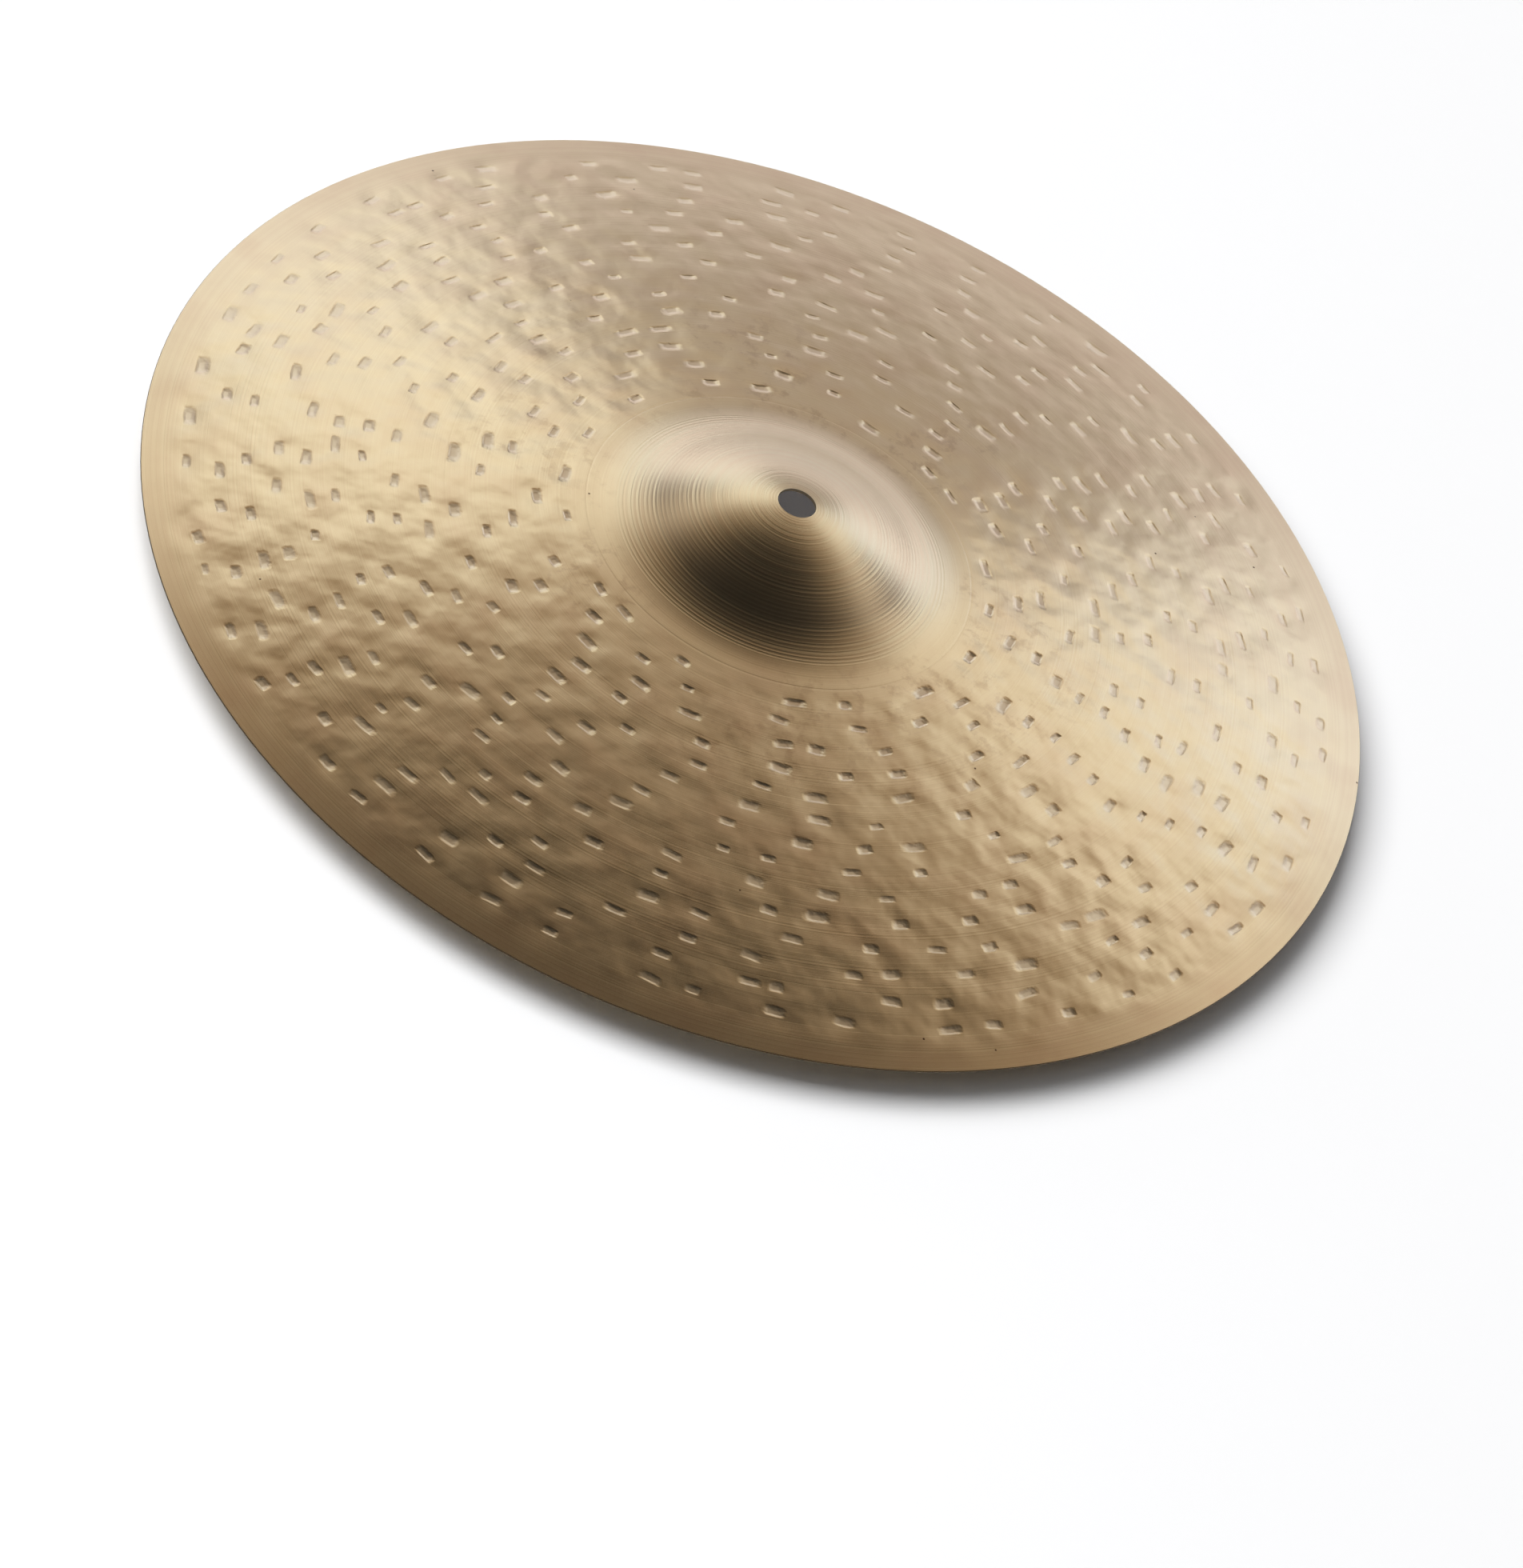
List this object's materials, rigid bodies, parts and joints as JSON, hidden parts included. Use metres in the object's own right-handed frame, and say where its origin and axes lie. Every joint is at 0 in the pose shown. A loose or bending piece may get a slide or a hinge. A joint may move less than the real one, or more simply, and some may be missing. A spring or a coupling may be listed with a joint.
{
  "type": "crash cymbal",
  "caption": "Round thin hammered and lathed bronze plate with a raised central bell, a shallow domed bow and a drilled centre hole, struck to sound.",
  "frame": {"origin": "centre of the circle on which the rim rests, on the axis of the centre hole", "axes": "+Z along the centre hole's axis, from the rim up to the top of the bell; X and Y lie in the plane of the rim"},
  "size_m": [0.4064, 0.4064, 0.0402],
  "materials": {
    "bronze": "cast tin bronze, hammered in rings and lathed, traditional unpolished finish"
  },
  "bodies": {
    "root": {"cymbal": "bronze"}
  },
  "joints": []
}
